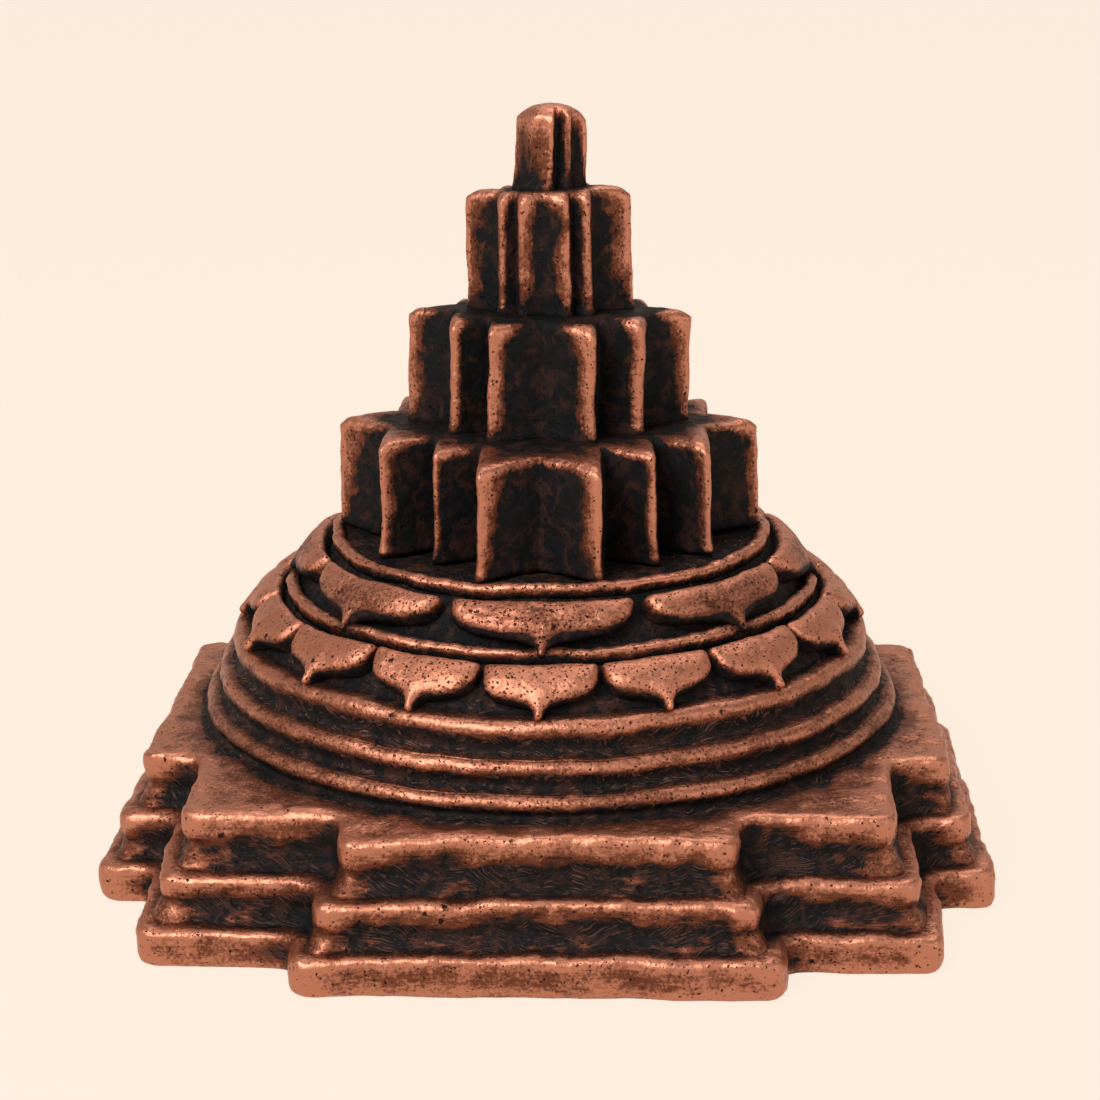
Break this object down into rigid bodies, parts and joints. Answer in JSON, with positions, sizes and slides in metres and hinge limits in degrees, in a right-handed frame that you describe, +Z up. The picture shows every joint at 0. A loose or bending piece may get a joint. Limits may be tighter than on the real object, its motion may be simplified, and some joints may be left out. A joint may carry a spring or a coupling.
{
  "type": "meru shri yantra",
  "caption": "Antique-copper meru shri yantra: stepped square base with gates, round girdles, two lotus rows and star-shaped tiers rising to a rounded crown.",
  "frame": {"origin": "middle of the underside of the lowest terrace, on the surface it stands on", "axes": "+Z up through the crown, front gate towards -Y, +X to the viewer's right"},
  "size_m": [0.076, 0.076, 0.0656],
  "materials": {
    "antique_copper": "antique copper over a cast copper alloy: worn bright edges, black patina in the recesses",
    "fastener_steel": "plain bright steel"
  },
  "bodies": {
    "root": {"bhupura_lower": "antique_copper", "bhupura_middle": "antique_copper", "bhupura_upper": "antique_copper", "girdle_lower": "antique_copper", "girdle_middle": "antique_copper", "girdle_upper": "antique_copper", "outer_lotus_course": "antique_copper", "inner_lotus_course": "antique_copper", "star_plinth": "antique_copper", "star_fourteen": "antique_copper", "star_ten_outer": "antique_copper", "star_ten_inner": "antique_copper", "star_eight_crown": "antique_copper", "outer_petal_01": "antique_copper", "outer_petal_02": "antique_copper", "outer_petal_03": "antique_copper", "outer_petal_04": "antique_copper", "outer_petal_05": "antique_copper", "outer_petal_06": "antique_copper", "outer_petal_07": "antique_copper", "outer_petal_08": "antique_copper", "outer_petal_09": "antique_copper", "outer_petal_10": "antique_copper", "outer_petal_11": "antique_copper", "outer_petal_12": "antique_copper", "outer_petal_13": "antique_copper", "outer_petal_14": "antique_copper", "outer_petal_15": "antique_copper", "outer_petal_16": "antique_copper", "inner_petal_1": "antique_copper", "inner_petal_2": "antique_copper", "inner_petal_3": "antique_copper", "inner_petal_4": "antique_copper", "inner_petal_5": "antique_copper", "inner_petal_6": "antique_copper", "inner_petal_7": "antique_copper", "inner_petal_8": "antique_copper", "tie_bar": "fastener_steel", "clamp_washer": "fastener_steel", "clamp_nut": "fastener_steel", "base_screws": "fastener_steel"}
  },
  "joints": []
}
